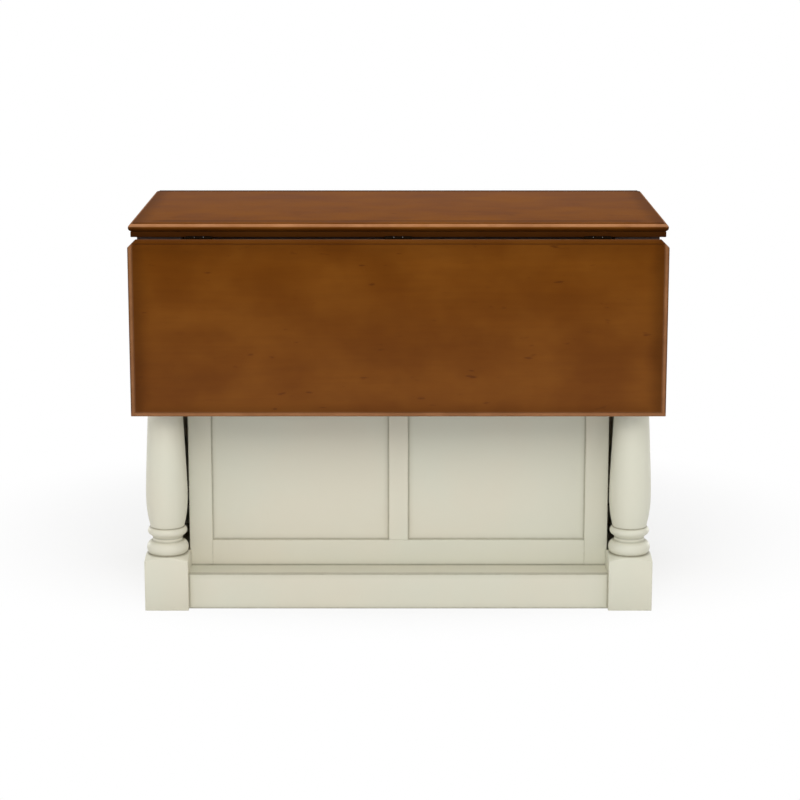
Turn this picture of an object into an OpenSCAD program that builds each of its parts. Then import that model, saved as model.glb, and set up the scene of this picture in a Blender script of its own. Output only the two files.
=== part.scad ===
// Drop leaf kitchen island: a moulded wooden worktop with one hinged leaf, on a painted base with
// four turned corner posts, panelled sides and back, and two drawers over two doors.
// Millimetres, +Z up. The leaf hangs on the -Y side and the doors open on the +Y side.
// The origin is on the floor, at the middle of the box that the island fills with its leaf down.
// Left and right are as seen from the leaf side: left is -X.

/* [Worktop] */
// Width of the worktop over its moulded edges
top_w = 1220; // [1160:0.5:1280]
// Depth of the worktop over its moulded edges
top_d = 635; // [600:1:680]
// Height of the worktop's surface above the floor
top_z = 914.4; // [880:0.1:950]
// Thickness of the moulded board, worktop and leaf alike
board_t = 19; // [18:0.5:21]
// Thickness of the strips that build up the board's edges from below
strip_t = 13; // [12:0.5:15]
// Width of the strips under the worktop
strip_w = 52; // [46:1:53]
// How far the strips stand in from the moulded edge
strip_inset = 5; // [4:0.5:6]
// Radius of the rounded nose along the edges
nose_r = 8.5; // [8:0.5:9]
// Width of the whole moulding, from the nose to the small step on the face
edge_w = 11.5; // [10.5:0.5:13]
// Drop of the small step
edge_step = 2; // [1:0.5:2]

/* [Leaf] */
// Width of the leaf
leaf_w = 1220; // [1150:0.5:1220]
// Length of the leaf from its hinged edge to its free edge
leaf_len = 407; // [400:1:420]
// Gap between the leaf's hinged edge and the worktop
leaf_gap = 1; // [0.5:0.1:2]
// Width of the strips under the leaf
leaf_strip_w = 42; // [38:1:44]
// Nose radius along the hinged edge, which is eased less than the others
hinged_nose_r = 6.5; // [6:0.5:8]
// Size of the cut across the leaf's corners on its hinged edge
corner_cut = 19; // [16:1:24]

/* [Leaf hinges and stays] */
// Sideways place of the outer hinges
hinge_x = 450; // [420:1:452]
// Length of a hinge along its pin
hinge_len = 60; // [50:1:70]
// Radius of the knuckles
knuckle_r = 3; // [2.8:0.1:3.2]
// Thickness of the hinge plates
hinge_t = 1.6; // [1.2:0.1:2]
// Depth of each hinge plate from the pin
hinge_flap = 33; // [28:1:34]
// Sideways place of the stays
stay_x = 330; // [280:1:360]
// How far the stay's pivot is below the leaf's hinge line
stay_drop = 90; // [80:1:96]
// How far the stay's pivot is behind the leaf's hinge line
stay_back = 19; // [17:1:20]
// Length of the stay between its pivot and its rollers
stay_len = 250; // [240:1:254]
// Depth of the rollers' path into the leaf's recess
stay_sink = 4.5; // [4:0.1:5]

/* [Posts] */
// Side of the square post blocks
post_w = 101.6; // [96:0.1:106]
// Overhang of the worktop past the blocks on the left and right
side_overhang = 18; // [16:0.5:26]
// Overhang past the blocks on the leaf side and on the door side
end_overhang = 20; // [19:0.5:24]
// Bottom of the upper blocks
upper_block_z = 716; // [705:1:725]

/* [Base] */
// Height of the base boards
base_h = 82.5; // [76:0.5:84]
// Thickness of base boards and aprons
base_t = 18; // [16:0.5:18]
// How far base boards and aprons stand back from the blocks
base_recess = 18; // [16:0.5:20]
// Height of the apron behind the leaf
apron_h = 150; // [140:1:160]

/* [Panelled frames] */
// Thickness of the frames
frame_t = 20; // [18:0.5:20]
// Width of the stiles of the back and the sides
stile_w = 54; // [48:1:58]
// Width of the middle stile of the back
mullion_w = 45; // [40:1:50]
// Height of the bottom rails of the back and the sides
low_rail_h = 61; // [55:1:70]
// Height of the top rails of the back and the sides
high_rail_h = 90; // [80:1:110]
// Thickness of the flat panels
panel_t = 6; // [5:0.5:6]
// Depth of the panels behind the frames' faces
panel_recess = 9; // [7:0.5:10]
// How far the panels and rails are let into the stiles
groove = 8; // [6:0.5:9]

/* [Doors and drawers] */
// Width of the stiles beside the doors and drawers
face_stile_w = 45; // [42:1:50]
// Bottom of the door openings
door_low_z = 110; // [104:1:116]
// Top of the door openings
door_high_z = 690; // [680:1:695]
// Bottom of the drawer openings
drawer_low_z = 715; // [710:1:720]
// Top of the drawer openings
drawer_high_z = 857; // [850:1:862]
// Gap round doors and drawer fronts
reveal = 2; // [1.5:0.1:3]
// Depth of the drawer boxes behind their fronts
drawer_d = 400; // [360:1:405]
// Height of the drawer boxes
drawer_box_h = 108; // [96:1:112]
// Thickness of the drawer boxes' sides
drawer_side_t = 12; // [12:0.5:13]
// Height of the shelves' undersides above the floor
shelf_z = 380; // [300:1:460]
// Radius of the knobs
knob_r = 15; // [13:0.5:16]

/* [Hidden] */
$fn = 64;
slab_t = board_t + strip_t;
nose_y = slab_t - (top_d + slab_t) / 2;
far_y = nose_y + top_d;
under_z = top_z - slab_t;
board_z = top_z - board_t;

half = post_w / 2;
post_x = top_w / 2 - side_overhang - half;
block_in = post_x - half;
leaf_post_y = nose_y + end_overhang + half;
door_post_y = far_y - end_overhang - half;

base_front_y = leaf_post_y - half + base_recess;
base_back_y = door_post_y + half - base_recess;
base_side_x = post_x + half - base_recess;
side_set_back = 12;
side_face_x = base_side_x - side_set_back;
deck_t = 18;

back_face_y = leaf_post_y + half;
back_back_y = back_face_y + frame_t;
back_lap = 3.6;
back_half_w = block_in + back_lap;
face_front_y = base_back_y;
face_back_y = face_front_y - frame_t;

carcass_t = 18;
carcass_play = 0.4;
carcass_x = block_in - carcass_play;
carcass_in = carcass_x - carcass_t;
divider_t = 18;
centre_stile_w = 45;
opening_in = centre_stile_w / 2;
opening_out = block_in - face_stile_w;
front_w = opening_out - opening_in - 2 * reveal;
front_mid_x = (opening_out + opening_in) / 2;

cleat_w = 30;
cleat_h = 20;

pin_r = 1.5;
bore_r = pin_r + 0.05;
plate_in = knuckle_r + 0.4;
strap_in = 2;
stay_t = 4;
stay_w = 12;
stay_pin_r = 3;
stay_bore_r = stay_pin_r + 0.05;
roller_r = 5;
roller_w = 5;
channel_t = 1.5;
channel_wall = 12;
channel_in = stay_t + 2 * roller_w + 2;
ear_t = 3;
// Angle of the stay from straight down with the leaf hanging, and the place of its rollers
stay_rest = asin((stay_sink + stay_back) / stay_len);
stay_out_up = sqrt(pow(stay_len, 2) - pow(stay_sink + stay_drop, 2)) - stay_back;
stay_out_down = stay_drop + sqrt(pow(stay_len, 2) - pow(stay_sink + stay_back, 2));

door_hinge_len = 50;
door_flap = 28;
door_hinge_z = [door_low_z + 90, door_high_z - 90];
door_pin_x = opening_out - reveal / 2;
door_pin_y = face_front_y + knuckle_r + 0.2;
door_stile_w = 58;
knob_out = 26;

runner_h = 16;
runner_z = drawer_low_z + 50;
runner_play = 1;
drawer_play = 3;
runner_bite = 5;
box_low_z = drawer_low_z + 8;
drawer_bottom_t = 6;
shelf_t = 18;
shelf_pin_r = 3;

paint = "#d3d0bc";
stain = "#7a4a24";
inner_wood = "#c9b48c";
brass = "#8a7448";
steel = "#9a9c9e";

// ---- shared helpers

// A board between two opposite corners
module board(low, high) {
    translate(low) cube(high - low);
}

// The same thing on the left and on the right
module both_sides() {
    for (side = [0, 1])
        mirror([side, 0, 0]) children();
}

// Left pieces are the mirror image of right ones
module on_left() {
    mirror([1, 0, 0]) children();
}

// A cylinder along X, centred
module rod_x(r, h) {
    rotate([0, 90, 0]) cylinder(r = r, h = h, center = true);
}

// Moulding of a board's edge as [distance in from the nose, height], from the face to the underside
function nose_points(r, w) = concat(
    [[w, board_t], [w, board_t - edge_step]],
    [for (a = [0:15:90]) [r - r * sin(a), board_t - edge_step - r + r * cos(a)]],
    [for (a = [15:15:90]) [nose_r * (1 - cos(a)), (board_t - edge_step - r) * (1 - sin(a))]]
);

function facing(points, width) = [for (i = [len(points) - 1:-1:0]) [width - points[i][0], points[i][1]]];

// Long bar with the section of a whole board, noses on both sides, along X or along Y
module section_bar(points_low, points_high, width, reach) {
    rotate([90, 0, 0])
        linear_extrude(reach, center = true)
            polygon(concat(points_low, facing(points_high, width)));
}

// Flat board with moulded edges: its hinged edge is at y = 0 and it reaches y = d
module moulded_board(w, d, hinged_r) {
    plain = nose_points(nose_r, edge_w);
    hinged = nose_points(hinged_r, hinged_r + edge_w - nose_r);
    intersection() {
        translate([0, d, 0]) rotate([0, 0, -90]) section_bar(plain, hinged, d, 2 * w);
        translate([-w / 2, 0, 0]) section_bar(plain, plain, w, 4 * d);
    }
}

// The same board with a moulded cut across each corner of its hinged edge
module cut_board(w, d, hinged_r) {
    intersection() {
        moulded_board(w, d, hinged_r);
        corner_bar(w, 2 * (w + d));
        mirror([1, 0, 0]) corner_bar(w, 2 * (w + d));
    }
}

module corner_bar(w, reach) {
    points = nose_points(nose_r, edge_w);
    translate([-w / 2 + corner_cut / 2, corner_cut / 2, 0])
        rotate([0, 0, 45]) section_bar(points, points, reach, reach);
}

// Outline of a board with cut corners on its hinged edge, drawn in by a margin
module cut_outline(w, d, margin) {
    cut = corner_cut - margin * (2 - sqrt(2));
    x = w / 2 - margin;
    polygon([
        [-x + cut, margin], [x - cut, margin], [x, margin + cut], [x, d - margin],
        [-x, d - margin], [-x, margin + cut],
    ]);
}

// Three strips under a board's edges, all but the one at its hinged edge: the long one runs
// through, the short ones stand between it and the hinged strip
module edge_strips(w, d, strip) {
    long_in = strip_inset + strip;
    x = w / 2;
    board([-x + strip_inset, d - long_in, 0], [x - strip_inset, d - strip_inset, strip_t]);
    both_sides() board([x - long_in, long_in, 0], [x - strip_inset, d - long_in, strip_t]);
}

// ---- worktop

module worktop() {
    color(stain)
        translate([0, nose_y, board_z]) moulded_board(top_w, top_d, nose_r);
}

module worktop_strips() {
    color(stain)
        translate([0, nose_y, under_z]) {
            edge_strips(top_w, top_d, strip_w);
            board([-top_w / 2 + strip_inset, strip_inset, 0],
                  [top_w / 2 - strip_inset, strip_inset + strip_w, strip_t]);
        }
}

// Battens that carry the screws into the worktop
module top_cleats() {
    color(inner_wood) {
        board([-carcass_in, back_back_y, board_z - cleat_h],
              [carcass_in, back_back_y + cleat_w, board_z]);
        board([-carcass_in, face_back_y - cleat_w, board_z - cleat_h],
              [carcass_in, face_back_y, board_z]);
    }
}

// ---- leaf, drawn raised with its hinge line on the X axis, then hung

module hung() {
    translate([0, nose_y, under_z]) rotate([90, 0, 0]) children();
}

// Turns y into the distance out along the leaf
module out_along_leaf() {
    translate([0, -leaf_gap, 0]) mirror([0, 1, 0]) children();
}

module leaf_board() {
    color(stain)
        hung() out_along_leaf()
            translate([0, 0, strip_t]) cut_board(leaf_w, leaf_len, hinged_nose_r);
}

module leaf_strips() {
    color(stain)
        hung() out_along_leaf() {
            edge_strips(leaf_w, leaf_len, leaf_strip_w);
            intersection() {
                linear_extrude(strip_t) cut_outline(leaf_w, leaf_len, strip_inset);
                board([-leaf_w, 0, 0], [leaf_w, strip_inset + leaf_strip_w, strip_t]);
            }
        }
}

// ---- leaf hinges: the plates lie under the worktop's strip, the flaps under the leaf's strip

module at_leaf_hinges() {
    for (x = [-hinge_x, 0, hinge_x])
        translate([x, 0, 0]) children();
}

// A plate that runs back from the knuckles along +Y, with its face on z = 0.
// The fixed half has the two outer knuckles, the moving half the one between them.
module hinge_plate(fixed) {
    knuckle = (hinge_len - 2) / 3;
    difference() {
        union() {
            translate([-hinge_len / 2, plate_in, -hinge_t])
                cube([hinge_len, hinge_flap - plate_in, hinge_t]);
            for (side = fixed ? [-1, 1] : [0])
                translate([side * (hinge_len - knuckle) / 2, 0, 0]) knuckle_with_strap(knuckle);
        }
        rod_x(bore_r, hinge_len + 2);
    }
}

module knuckle_with_strap(knuckle) {
    rod_x(knuckle_r, knuckle);
    translate([-knuckle / 2, strap_in, -hinge_t]) cube([knuckle, plate_in + 1 - strap_in, hinge_t - 0.2]);
}

module leaf_hinge_plates() {
    color(brass)
        translate([0, nose_y, under_z]) at_leaf_hinges() hinge_plate(true);
}

module leaf_hinge_flaps() {
    color(brass)
        hung() at_leaf_hinges() mirror([0, 1, 0]) hinge_plate(false);
}

// Pins of the leaf hinges and of the door hinges
module hinge_pins() {
    color(steel) {
        translate([0, nose_y, under_z]) at_leaf_hinges() rod_x(pin_r, hinge_len);
        both_sides() at_door_hinges() rotate([0, -90, 0]) rod_x(pin_r, door_hinge_len);
    }
}

// ---- stays: an arm on each side pivots on the apron and its rollers run in a channel on the leaf

module at_stay_pivots() {
    both_sides() translate([stay_x, nose_y + stay_back, under_z - stay_drop]) children();
}

// Plate on the apron with two ears that the arm turns between
module stay_brackets() {
    plate_w = 44;
    plate_h = 60;
    plate_t = 3;
    ear_r = 9;
    back = base_front_y - nose_y - stay_back;
    color(steel)
        at_stay_pivots()
            difference() {
                union() {
                    translate([-plate_w / 2, back - plate_t, -plate_h / 2])
                        cube([plate_w, plate_t, plate_h]);
                    for (side = [-1, 1])
                        translate([side * (stay_t + 1 + ear_t) / 2, 0, 0]) {
                            translate([-ear_t / 2, 0, -ear_r]) cube([ear_t, back - plate_t, 2 * ear_r]);
                            rod_x(ear_r, ear_t);
                        }
                }
                rod_x(stay_bore_r, plate_w);
            }
}

// Headed pins through the ears
module stay_pivot_pins() {
    grip = stay_t + 1 + 2 * ear_t;
    head_t = 1.5;
    color(steel)
        at_stay_pivots() {
            rod_x(stay_pin_r, grip);
            for (side = [-1, 1])
                translate([side * (grip + head_t) / 2, 0, 0]) rod_x(stay_pin_r + 2, head_t);
        }
}

// Flat bar with round ends, a bore at its pivot and two rollers at its far end
module stay_arm() {
    color(steel)
        translate([stay_x, nose_y + stay_back, under_z - stay_drop]) rotate([-stay_rest, 0, 0]) {
            difference() {
                union() {
                    translate([-stay_t / 2, -stay_w / 2, -stay_len]) cube([stay_t, stay_w, stay_len]);
                    rod_x(stay_w / 2, stay_t);
                    translate([0, 0, -stay_len]) rod_x(stay_w / 2, stay_t);
                }
                rod_x(stay_bore_r, stay_t + 2);
            }
            for (side = [-1, 1])
                translate([side * (stay_t + roller_w) / 2, 0, -stay_len]) rod_x(roller_r, roller_w);
        }
}

module stay_arm_right() {
    stay_arm();
}

module stay_arm_left() {
    on_left() stay_arm();
}

// Open channels on the leaf's underside, between its strips
module stay_channels() {
    low = stay_out_up - 16;
    high = stay_out_down + 14;
    outer = channel_in + 2 * channel_t;
    color(steel)
        hung() both_sides()
            translate([stay_x - outer / 2, -high, strip_t - channel_wall])
                difference() {
                    cube([outer, high - low, channel_wall]);
                    translate([channel_t, -1, -1])
                        cube([channel_in, high - low + 2, channel_wall - channel_t + 1]);
                }
}

// ---- screws: flat heads let into the plates, shanks in the wood

module screw(grip, length) {
    cylinder(r = 2, h = length);
    cylinder(r = 3.5, h = grip);
}

module frame_screws() {
    color(brass) {
        // into the stiles, through the door hinges' plates
        both_sides() at_door_hinges() door_hinge_screws(1);
        // into the worktop's strip, through the hinge plates
        translate([0, nose_y, under_z - hinge_t - 0.6]) at_leaf_hinges()
            for (x = [-20, 20])
                translate([x, 22, 0]) screw(0.6, 11);
        // into the apron, through the stay brackets
        both_sides()
            for (x = [-14, 14], z = [-22, 22])
                translate([stay_x + x, base_front_y - 3.6, under_z - stay_drop + z])
                    rotate([-90, 0, 0]) screw(0.6, 14);
        // up through the cleats into the worktop
        for (x = [-390, -150, 150, 390], y = [back_back_y + cleat_w / 2, face_back_y - cleat_w / 2])
            translate([x, y, board_z - cleat_h - 0.8]) screw(0.8, cleat_h + 13);
    }
}

module leaf_screws() {
    color(brass)
        hung() {
            translate([0, 0, -hinge_t - 0.6]) at_leaf_hinges()
                for (x = [-20, 20])
                    translate([x, -22, 0]) screw(0.6, 11);
            both_sides()
                for (y = [stay_out_up + 20, stay_out_down - 20])
                    translate([stay_x, -y, strip_t - channel_t - 0.6]) screw(0.6, 12);
        }
}

// ---- posts, each turned from one square billet

// Heights of the turned parts above the floor
shoulder_z = 118.6;
torus_z = 142.8;
bead_z = 183;
vase_z = 192;
belly_z = 267;
neck_z = 622;
// Radius of the narrow parts, and of the vase at its belly
waist_r = 35;
belly_r = 48.5;
// How steeply the lathe cuts the blocks' corners away, and the radius where that ends
shoulder_slope = 0.39;
shoulder_r = 43.8;
corner_r = half * sqrt(2) + 1;
shoulder_rise = shoulder_slope * (corner_r - shoulder_r);

// Points on part of an ellipse, from one angle to another
function arc(r, z, rr, rz, from, to, step) = [
    for (a = [from:step:to]) [r + rr * cos(a), z + rz * sin(a)]
];

// Radius of the vase: round below its belly, then an almost straight taper up to the neck
function vase_r(z) = z < belly_z
    ? belly_r - 9.5 * pow((belly_z - z) / (belly_z - vase_z), 2.1)
    : belly_r - 0.049 * (sqrt(pow(z - belly_z, 2) + pow(34, 2)) - 34);

module turned_outline() {
    polygon(concat(
        [[0, shoulder_z - 10], [shoulder_r - 1, shoulder_z - 10], [shoulder_r - 0.5, torus_z - 12.8]],
        arc(waist_r, torus_z, 13.7, 16.2, -50, 90, 10),
        [[waist_r, bead_z - 15], [waist_r + 1.2, bead_z - 12]],
        arc(waist_r, bead_z, 11, 10.2, -56, 60, 11.6),
        [for (z = [vase_z:6.25:belly_z]) [vase_r(z), z]],
        [for (z = [belly_z + 12:22:neck_z]) [vase_r(z), z]],
        [[vase_r(neck_z), neck_z], [waist_r, neck_z + 4]],
        arc(waist_r, neck_z + 14, 9, 9, -60, 60, 12),
        [[waist_r, neck_z + 26], [waist_r, upper_block_z - 40]],
        arc(waist_r, upper_block_z - 24, 13.7, 16.2, -90, 50, 10),
        [[shoulder_r - 0.5, upper_block_z - 11.2], [shoulder_r - 1, upper_block_z + 10],
         [0, upper_block_z + 10]]
    ));
}

// One square block from the floor up, with its corners turned down to a cone at the top
module post_block(h) {
    intersection() {
        board([-half, -half, 0], [half, half, h + shoulder_rise]);
        union() {
            cylinder(r = corner_r, h = h);
            translate([0, 0, h]) cylinder(r1 = corner_r, r2 = shoulder_r, h = shoulder_rise);
        }
    }
}

module post() {
    color(paint) {
        post_block(shoulder_z);
        translate([0, 0, under_z]) mirror([0, 0, 1]) post_block(under_z - upper_block_z);
        rotate_extrude() turned_outline();
    }
}

module post_leaf_left() {
    translate([-post_x, leaf_post_y, 0]) post();
}

module post_leaf_right() {
    translate([post_x, leaf_post_y, 0]) post();
}

module post_door_left() {
    translate([-post_x, door_post_y, 0]) post();
}

module post_door_right() {
    translate([post_x, door_post_y, 0]) post();
}

// ---- base

module base_boards_long() {
    color(paint) {
        board([-block_in, base_front_y, 0], [block_in, base_front_y + base_t, base_h]);
        board([-block_in, base_back_y - base_t, 0], [block_in, base_back_y, base_h]);
    }
}

module base_boards_ends() {
    color(paint)
        both_sides()
            board([base_side_x - base_t, leaf_post_y + half, 0],
                  [base_side_x, door_post_y - half, base_h]);
}

// Bottom board, level with the base boards' top edges and notched round the posts
module deck() {
    color(paint)
        translate([0, 0, base_h - deck_t]) {
            board([-block_in, base_front_y + base_t, 0], [block_in, base_back_y - base_t, deck_t]);
            both_sides()
                board([block_in - 1, leaf_post_y + half, 0],
                      [base_side_x - base_t, door_post_y - half, deck_t]);
        }
}

module leaf_apron() {
    color(paint)
        board([-block_in, base_front_y, under_z - apron_h], [block_in, base_front_y + base_t, under_z]);
}

// ---- frame and panel boards, drawn with the face at y = 0 and the thickness along +Y

module groove_cut(low, high) {
    y = panel_recess;
    translate([low[0], y, low[1]]) cube([high[0] - low[0], panel_t, high[1] - low[1]]);
}

// Upright board, grooved along its edges that face a panel
module stile(x, w, z0, z1, left_groove, right_groove) {
    difference() {
        board([x, 0, z0], [x + w, frame_t, z1]);
        if (left_groove) groove_cut([x - 1, z0 - 1], [x + groove, z1 + 1]);
        if (right_groove) groove_cut([x + w - groove, z0 - 1], [x + w + 1, z1 + 1]);
    }
}

// Level board between two stiles, with a tongue at each end in the stiles' grooves
module rail(x0, x1, z, h, low_groove, high_groove) {
    difference() {
        union() {
            board([x0, 0, z], [x1, frame_t, z + h]);
            groove_cut([x0 - groove, z], [x1 + groove, z + h]);
        }
        if (low_groove) groove_cut([x0 - groove - 1, z - 1], [x1 + groove + 1, z + groove]);
        if (high_groove) groove_cut([x0 - groove - 1, z + h - groove], [x1 + groove + 1, z + h + 1]);
    }
}

// Flat panel that reaches into the grooves round an opening
module panel(x0, x1, z0, z1) {
    reach = groove - 1;
    board([x0 - reach, panel_recess, z0 - reach], [x1 + reach, panel_recess + panel_t, z1 + reach]);
}

// ---- back, behind the leaf

back_z0 = base_h;
back_z1 = board_z;
back_in = back_half_w - stile_w;
back_panel_z0 = back_z0 + low_rail_h;
back_panel_z1 = back_z1 - high_rail_h;

module at_back() {
    translate([0, back_face_y, 0]) children();
}

module back_stiles() {
    color(paint) at_back() both_sides() stile(back_in, stile_w, back_z0, back_z1, true, false);
}

module back_rails() {
    color(paint) at_back() {
        rail(-back_in, back_in, back_z0, low_rail_h, false, true);
        rail(-back_in, back_in, back_panel_z1, high_rail_h, true, false);
    }
}

// The middle stile has a tongue at each end in the rails' grooves
module back_mullion() {
    color(paint) at_back()
        difference() {
            union() {
                board([-mullion_w / 2, 0, back_panel_z0], [mullion_w / 2, frame_t, back_panel_z1]);
                groove_cut([-mullion_w / 2, back_panel_z0 - groove],
                           [mullion_w / 2, back_panel_z1 + groove]);
            }
            both_sides()
                groove_cut([mullion_w / 2 - groove, back_panel_z0 - groove - 1],
                           [mullion_w / 2 + 1, back_panel_z1 + groove + 1]);
        }
}

module back_panels() {
    color(paint) at_back() both_sides() panel(mullion_w / 2, back_in, back_panel_z0, back_panel_z1);
}

// ---- sides, between the posts' blocks

side_w = door_post_y - leaf_post_y - post_w;
side_z0 = base_h;
side_z1 = under_z;
side_panel_z0 = side_z0 + low_rail_h;
side_panel_z1 = side_z1 - high_rail_h;

// Turns a frame so that its face looks along +X
module at_side() {
    translate([side_face_x, leaf_post_y + half, 0]) rotate([0, 0, 90]) children();
}

module side_frame() {
    color(paint) at_side() {
        stile(0, stile_w, side_z0, side_z1, false, true);
        stile(side_w - stile_w, stile_w, side_z0, side_z1, true, false);
        rail(stile_w, side_w - stile_w, side_z0, low_rail_h, false, true);
        rail(stile_w, side_w - stile_w, side_panel_z1, high_rail_h, true, false);
    }
}

module side_panel() {
    color(paint) at_side() panel(stile_w, side_w - stile_w, side_panel_z0, side_panel_z1);
}

module side_frame_right() {
    side_frame();
}

module side_frame_left() {
    on_left() side_frame();
}

module side_panel_right() {
    side_panel();
}

module side_panel_left() {
    on_left() side_panel();
}

// ---- carcass

module carcass_side() {
    color(inner_wood) board([carcass_in, back_back_y, base_h], [carcass_x, face_back_y, under_z]);
}

module carcass_side_right() {
    carcass_side();
}

module carcass_side_left() {
    on_left() carcass_side();
}

module centre_divider() {
    color(inner_wood)
        board([-divider_t / 2, back_back_y, base_h],
              [divider_t / 2, face_back_y, board_z - cleat_h]);
}

// ---- front with the doors and drawers

module face_stiles() {
    color(paint)
        both_sides() board([opening_out, face_back_y, base_h], [block_in, face_front_y, under_z]);
}

module face_centre_stile() {
    color(paint)
        board([-opening_in, face_back_y, door_low_z], [opening_in, face_front_y, drawer_high_z]);
}

module face_rails() {
    color(paint) {
        board([-opening_out, face_back_y, base_h], [opening_out, face_front_y, door_low_z]);
        board([-opening_out, face_back_y, drawer_high_z], [opening_out, face_front_y, under_z]);
        both_sides()
            board([opening_in, face_back_y, door_high_z], [opening_out, face_front_y, drawer_low_z]);
    }
}

module shelves() {
    gap = 1;
    color(inner_wood)
        both_sides()
            board([divider_t / 2 + gap, back_back_y + 4, shelf_z],
                  [carcass_in - gap, face_back_y - 25, shelf_z + shelf_t]);
}

// Pins under the shelves, let into the divider and the carcass sides
module shelf_pins() {
    pin_len = 16;
    pin_in = 8;
    color(brass)
        both_sides()
            for (y = [back_back_y + 50, face_back_y - 70], x = [divider_t / 2, carcass_in])
                translate([x, y, shelf_z - shelf_pin_r]) rod_x(shelf_pin_r, pin_len);
}

// Hardwood strips that the grooves of the drawer sides run on
module drawer_runners() {
    inner_x = opening_in + drawer_play + runner_bite;
    outer_x = opening_out - drawer_play - runner_bite;
    y0 = face_back_y - drawer_d;
    color(inner_wood)
        both_sides() {
            board([divider_t / 2, y0, runner_z], [inner_x, face_back_y, runner_z + runner_h]);
            board([outer_x, y0, runner_z], [carcass_in, face_back_y, runner_z + runner_h]);
        }
}

// ---- drawers

module drawer_front() {
    color(paint)
        board([opening_in + reveal, face_back_y, drawer_low_z + reveal],
              [opening_out - reveal, face_front_y, drawer_high_z - reveal]);
}

// Two grooved sides with an inner front and a back between them
module drawer_box() {
    x0 = opening_in + drawer_play;
    x1 = opening_out - drawer_play;
    y0 = face_back_y - drawer_d;
    z0 = box_low_z;
    z1 = box_low_z + drawer_box_h;
    slot = runner_bite + runner_play;
    slot_z0 = runner_z - 0.5;
    slot_z1 = runner_z + runner_h + 0.5;
    color(inner_wood) {
        difference() {
            board([x0, y0, z0], [x0 + drawer_side_t, face_back_y, z1]);
            board([x0 - 1, y0 - 1, slot_z0], [x0 + slot, face_back_y + 1, slot_z1]);
        }
        difference() {
            board([x1 - drawer_side_t, y0, z0], [x1, face_back_y, z1]);
            board([x1 - slot, y0 - 1, slot_z0], [x1 + 1, face_back_y + 1, slot_z1]);
        }
        board([x0 + drawer_side_t, y0, z0], [x1 - drawer_side_t, y0 + drawer_side_t, z1]);
        board([x0 + drawer_side_t, face_back_y - drawer_side_t, z0],
              [x1 - drawer_side_t, face_back_y, z1]);
    }
}

module drawer_bottom() {
    x0 = opening_in + drawer_play + drawer_side_t;
    x1 = opening_out - drawer_play - drawer_side_t;
    y0 = face_back_y - drawer_d + drawer_side_t;
    color(inner_wood)
        board([x0, y0, box_low_z + 3],
              [x1, face_back_y - drawer_side_t, box_low_z + 3 + drawer_bottom_t]);
}

// Round knob on a collar, with its axis along +Y from y = 0
module knob() {
    color(brass)
        rotate([-90, 0, 0])
            rotate_extrude()
                polygon(concat(
                    [[0, 0], [9, 0], [9, 1.5], [7.5, 2.5], [5.5, 4], [5, 8], [6, 11]],
                    arc(0, knob_out - 9, knob_r, 7, -50, 85, 9),
                    [[0, knob_out - 2]]
                ));
}

module drawer_knob() {
    translate([front_mid_x, face_front_y, (drawer_low_z + drawer_high_z) / 2]) knob();
}

module drawer_right_front() {
    drawer_front();
}

module drawer_right_box() {
    drawer_box();
}

module drawer_right_bottom() {
    drawer_bottom();
}

module drawer_right_knob() {
    drawer_knob();
}

module drawer_left_front() {
    on_left() drawer_front();
}

module drawer_left_box() {
    on_left() drawer_box();
}

module drawer_left_bottom() {
    on_left() drawer_bottom();
}

module drawer_left_knob() {
    on_left() drawer_knob();
}

// ---- doors

door_x0 = opening_in + reveal;
door_x1 = opening_out - reveal;
door_z0 = door_low_z + reveal;
door_z1 = door_high_z - reveal;

// Turns a frame so that its face looks along +Y; x is mirrored, so the frame is drawn from -x1 to -x0
module at_front() {
    translate([0, face_front_y, 0]) rotate([0, 0, 180]) children();
}

module door_frame() {
    color(paint) at_front() {
        stile(-door_x1, door_stile_w, door_z0, door_z1, false, true);
        stile(-door_x0 - door_stile_w, door_stile_w, door_z0, door_z1, true, false);
        rail(-door_x1 + door_stile_w, -door_x0 - door_stile_w, door_z0, door_stile_w, false, true);
        rail(-door_x1 + door_stile_w, -door_x0 - door_stile_w, door_z1 - door_stile_w,
             door_stile_w, true, false);
    }
}

module door_panel() {
    color(paint) at_front()
        panel(-door_x1 + door_stile_w, -door_x0 - door_stile_w,
              door_z0 + door_stile_w, door_z1 - door_stile_w);
}

module door_knob() {
    translate([door_x0 + door_stile_w / 2, face_front_y, door_z1 - 90]) knob();
}

module at_door_hinges() {
    for (z = door_hinge_z)
        translate([door_pin_x, door_pin_y, z]) children();
}

// Hinge half fixed on the wood's face: knuckles on an upright pin and a plate, on the +X or -X side.
// The half on the stile has the two outer knuckles, the one on the door has the one between them.
module door_hinge_half(side) {
    knuckle = (door_hinge_len - 2) / 3;
    face = face_front_y - door_pin_y;
    difference() {
        union() {
            translate([side > 0 ? plate_in : -door_flap, face, -door_hinge_len / 2])
                cube([door_flap - plate_in, hinge_t, door_hinge_len]);
            for (z = side > 0 ? [-1, 1] : [0])
                translate([0, 0, z * (door_hinge_len - knuckle) / 2]) {
                    cylinder(r = knuckle_r, h = knuckle, center = true);
                    translate([side > 0 ? strap_in : -plate_in - 1, face + 0.2, -knuckle / 2])
                        cube([plate_in + 1 - strap_in, hinge_t - 0.2, knuckle]);
                }
        }
        cylinder(r = bore_r, h = door_hinge_len + 2, center = true);
    }
}

// Screws through the plate of one hinge half
module door_hinge_screws(side) {
    for (x = [10, 21], z = [-16, 16])
        translate([side * x, face_front_y - door_pin_y + hinge_t + 0.6, z])
            rotate([90, 0, 0]) screw(0.6, 14);
}

module door_hinges() {
    color(brass) at_door_hinges() door_hinge_half(-1);
}

module door_screws() {
    color(brass) at_door_hinges() door_hinge_screws(-1);
}

module door_hinge_plates() {
    color(brass) both_sides() at_door_hinges() door_hinge_half(1);
}

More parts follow.
